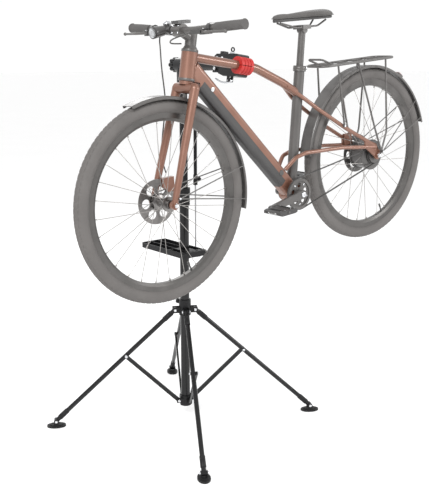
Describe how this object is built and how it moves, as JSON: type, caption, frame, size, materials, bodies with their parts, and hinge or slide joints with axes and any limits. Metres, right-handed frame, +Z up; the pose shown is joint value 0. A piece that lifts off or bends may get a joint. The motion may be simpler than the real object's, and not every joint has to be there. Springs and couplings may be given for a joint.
{
  "type": "bicycle on repair stand",
  "caption": "Folding repair stand that grips an electric city bicycle by its top tube and holds it clear of the floor, with a tool tray and a rod that steadies the front wheel.",
  "frame": {"origin": "on the floor, under the middle of everything seen from above", "axes": "+X runs from the bicycle's front to its rear, +Y from the bicycle's plane to the stand's mast, +Z up"},
  "size_m": [1.7698, 1.1663, 1.6965],
  "materials": {
    "stand_black": "gloss powder coat",
    "stand_plastic": "moulded black",
    "stand_bolts": "plated",
    "pad_red": "soft grooved",
    "foot_rubber": "moulded",
    "frame_copper": "satin copper brown",
    "battery_grey": "fine textured",
    "bike_grey": "satin grey",
    "tyre": "ribbed tread",
    "rim": "anodised",
    "spokes": "drawn",
    "hub": "anodised",
    "disc": "ground",
    "grip": "soft",
    "hose": "smooth",
    "belt": "toothed",
    "saddle": "grained cover",
    "controls": "black",
    "rod_steel": "zinc plated"
  },
  "bodies": {
    "mast": {"mast_lower_tube": "stand_black", "mast_collar": "stand_plastic", "lower_hub": "stand_plastic", "tool_tray": "stand_plastic"},
    "collar_lever": {"collar_lever": "stand_plastic"},
    "upper_mast": {"mast_upper_tube": "stand_black", "mast_head": "stand_black"},
    "head_knob": {"head_knob": "stand_plastic"},
    "clamp": {"clamp_arm": "stand_black", "clamp_body": "stand_black", "upper_pad": "pad_red", "front_frame": "frame_copper", "battery_cover": "battery_grey", "top_tube": "frame_copper", "seat_tube": "bike_grey", "rear_stays": "frame_copper", "rear_fender": "bike_grey", "rack": "bike_grey", "drive_belt": "belt"},
    "lower_jaw": {"lower_jaw": "stand_black", "lower_pad": "pad_red"},
    "jaw_lever": {"jaw_lever": "stand_bolts"},
    "holder_tube": {"holder_tube": "stand_plastic"},
    "holder_rod": {"holder_rod": "rod_steel"},
    "leg_hub": {"leg_hub": "stand_plastic"},
    "hub_knob": {"hub_knob": "stand_plastic"},
    "steering": {"fork": "frame_copper", "stem": "bike_grey", "handlebar": "bike_grey", "grips": "grip", "bar_controls": "controls", "brake_hoses": "hose", "front_fender": "bike_grey"},
    "brake_lever_drive_side": {"brake_lever_drive_side": "bike_grey"},
    "brake_lever_disc_side": {"brake_lever_disc_side": "bike_grey"},
    "front_wheel": {"front_tyre": "tyre", "front_rim": "rim", "front_spokes": "spokes", "front_hub": "disc"},
    "rear_wheel": {"rear_tyre": "tyre", "rear_rim": "rim", "rear_spokes": "spokes", "rear_motor": "hub"},
    "crankset": {"crankset": "bike_grey"},
    "pedal_drive_side": {"pedal_drive_side": "battery_grey"},
    "pedal_disc_side": {"pedal_disc_side": "battery_grey"},
    "seat": {"seatpost": "bike_grey", "saddle": "saddle"},
    "leg_1": {"leg_1": "stand_black"},
    "strut_1": {"strut_1": "stand_black"},
    "foot_1": {"foot_1": "foot_rubber"},
    "leg_2": {"leg_2": "stand_black"},
    "strut_2": {"strut_2": "stand_black"},
    "foot_2": {"foot_2": "foot_rubber"},
    "leg_3": {"leg_3": "stand_black"},
    "strut_3": {"strut_3": "stand_black"},
    "foot_3": {"foot_3": "foot_rubber"},
    "leg_4": {"leg_4": "stand_black"},
    "strut_4": {"strut_4": "stand_black"},
    "foot_4": {"foot_4": "foot_rubber"}
  },
  "joints": [
    {"name": "mast_height", "type": "slide", "parent": "mast", "child": "upper_mast", "axis": [0, 0, 1], "range_m": [-0.25, 0.1]},
    {"name": "collar_lever_turn", "type": "hinge", "parent": "mast", "child": "collar_lever", "pos_m": [-0.18152, 0.107, 0.985], "axis": [0, 0, -1], "range_deg": [0, 100]},
    {"name": "arm_turn", "type": "hinge", "parent": "upper_mast", "child": "clamp", "pos_m": [-0.168, 0.044, 1.485], "axis": [0, 1, 0], "range_deg": [-60, 60]},
    {"name": "head_knob_turn", "type": "hinge", "parent": "clamp", "child": "head_knob", "pos_m": [-0.168, 0.112, 1.485], "axis": [0, 1, 0], "continuous": true},
    {"name": "jaw_open", "type": "hinge", "parent": "clamp", "child": "lower_jaw", "pos_m": [-0.16985, -0.154, 1.47112], "axis": [0.9912, 0, -0.1324], "range_deg": [0, 20]},
    {"name": "jaw_lever_turn", "type": "hinge", "parent": "lower_jaw", "child": "jaw_lever", "pos_m": [-0.17502, -0.21, 1.43247], "axis": [-0.9912, 0, 0.1324], "range_deg": [0, 100]},
    {"name": "holder_swing", "type": "hinge", "parent": "upper_mast", "child": "holder_tube", "pos_m": [-0.096, 0.094, 1.462], "axis": [0, -1, 0], "range_deg": [0, 110]},
    {"name": "holder_extend", "type": "slide", "parent": "holder_tube", "child": "holder_rod", "axis": [0, 0, 1], "range_m": [0, 0.2]},
    {"name": "hub_lift", "type": "slide", "parent": "mast", "child": "leg_hub", "axis": [0, 0, 1], "range_m": [0, 0.183]},
    {"name": "hub_knob_turn", "type": "hinge", "parent": "leg_hub", "child": "hub_knob", "pos_m": [-0.17526, 0.10711, 0.518], "axis": [-0.2419, 0.9703, 0], "continuous": true},
    {"name": "leg_1_fold", "type": "hinge", "parent": "leg_hub", "child": "leg_1", "pos_m": [-0.132, 0.05637, 0.488], "axis": [0.515, 0.8572, 0], "range_deg": [0, 44.6]},
    {"name": "strut_1_fold", "type": "hinge", "parent": "mast", "child": "strut_1", "pos_m": [-0.13502, 0.07464, 0.088], "axis": [-0.515, -0.8572, 0], "range_deg": [0, 41.5]},
    {"name": "foot_1_tilt", "type": "hinge", "parent": "leg_1", "child": "foot_1", "pos_m": [0.30173, -0.20424, 0.024], "axis": [0.515, 0.8572, 0], "range_deg": [-45, 10]},
    {"name": "leg_2_fold", "type": "hinge", "parent": "leg_hub", "child": "leg_2", "pos_m": [-0.14637, 0.114, 0.488], "axis": [-0.8572, 0.515, 0], "range_deg": [0, 44.6]},
    {"name": "strut_2_fold", "type": "hinge", "parent": "mast", "child": "strut_2", "pos_m": [-0.16464, 0.11098, 0.088], "axis": [0.8572, -0.515, 0], "range_deg": [0, 41.5]},
    {"name": "foot_2_tilt", "type": "hinge", "parent": "leg_2", "child": "foot_2", "pos_m": [0.11424, 0.54773, 0.024], "axis": [-0.8572, 0.515, 0], "range_deg": [-45, 10]},
    {"name": "leg_3_fold", "type": "hinge", "parent": "leg_hub", "child": "leg_3", "pos_m": [-0.204, 0.09963, 0.488], "axis": [-0.515, -0.8572, 0], "range_deg": [0, 44.6]},
    {"name": "strut_3_fold", "type": "hinge", "parent": "mast", "child": "strut_3", "pos_m": [-0.20098, 0.08137, 0.088], "axis": [0.515, 0.8572, 0], "range_deg": [0, 41.5]},
    {"name": "foot_3_tilt", "type": "hinge", "parent": "leg_3", "child": "foot_3", "pos_m": [-0.63773, 0.36024, 0.024], "axis": [-0.515, -0.8572, 0], "range_deg": [-45, 10]},
    {"name": "leg_4_fold", "type": "hinge", "parent": "leg_hub", "child": "leg_4", "pos_m": [-0.18963, 0.042, 0.488], "axis": [0.8572, -0.515, 0], "range_deg": [0, 44.6]},
    {"name": "strut_4_fold", "type": "hinge", "parent": "mast", "child": "strut_4", "pos_m": [-0.17136, 0.04502, 0.088], "axis": [-0.8572, 0.515, 0], "range_deg": [0, 41.5]},
    {"name": "foot_4_tilt", "type": "hinge", "parent": "leg_4", "child": "foot_4", "pos_m": [-0.45024, -0.39173, 0.024], "axis": [0.8572, -0.515, 0], "range_deg": [-45, 10]},
    {"name": "steer", "type": "hinge", "parent": "clamp", "child": "steering", "pos_m": [-0.42504, -0.272, 1.43641], "axis": [0.1478, 0, 0.989], "range_deg": [-30, 30]},
    {"name": "brake_lever_drive_side_squeeze", "type": "hinge", "parent": "steering", "child": "brake_lever_drive_side", "pos_m": [-0.47814, -0.43, 1.5972], "axis": [-0.0872, 0, 0.9962], "range_deg": [0, 14], "stiffness_Nm_per_rad": 2},
    {"name": "brake_lever_disc_side_squeeze", "type": "hinge", "parent": "steering", "child": "brake_lever_disc_side", "pos_m": [-0.47814, -0.114, 1.5972], "axis": [0.0872, 0, -0.9962], "range_deg": [0, 14], "stiffness_Nm_per_rad": 2},
    {"name": "front_wheel_spin", "type": "hinge", "parent": "steering", "child": "front_wheel", "pos_m": [-0.52917, -0.272, 1.02377], "axis": [0, -1, 0], "continuous": true},
    {"name": "rear_wheel_spin", "type": "hinge", "parent": "clamp", "child": "rear_wheel", "pos_m": [0.52878, -0.272, 1.11633], "axis": [0, -1, 0], "continuous": true},
    {"name": "crank_spin", "type": "hinge", "parent": "clamp", "child": "crankset", "pos_m": [0.09046, -0.272, 0.99767], "axis": [0, -1, 0], "continuous": true},
    {"name": "pedal_drive_side_spin", "type": "hinge", "parent": "crankset", "child": "pedal_drive_side", "pos_m": [-0.07519, -0.388, 0.95943], "axis": [0, -1, 0], "continuous": true},
    {"name": "pedal_disc_side_spin", "type": "hinge", "parent": "crankset", "child": "pedal_disc_side", "pos_m": [0.2561, -0.156, 1.03591], "axis": [0, -1, 0], "continuous": true},
    {"name": "seat_height", "type": "slide", "parent": "clamp", "child": "seat", "axis": [0.0698, 0, 0.9976], "range_m": [-0.08, 0.03]}
  ],
  "couplings": [
    {"joint": "leg_1_fold", "follows": "hub_lift", "rad_per_m": 4.2306},
    {"joint": "strut_1_fold", "follows": "hub_lift", "rad_per_m": 3.9228},
    {"joint": "leg_2_fold", "follows": "hub_lift", "rad_per_m": 4.2306},
    {"joint": "strut_2_fold", "follows": "hub_lift", "rad_per_m": 3.9228},
    {"joint": "leg_3_fold", "follows": "hub_lift", "rad_per_m": 4.2306},
    {"joint": "strut_3_fold", "follows": "hub_lift", "rad_per_m": 3.9228},
    {"joint": "leg_4_fold", "follows": "hub_lift", "rad_per_m": 4.2306},
    {"joint": "strut_4_fold", "follows": "hub_lift", "rad_per_m": 3.9228}
  ]
}
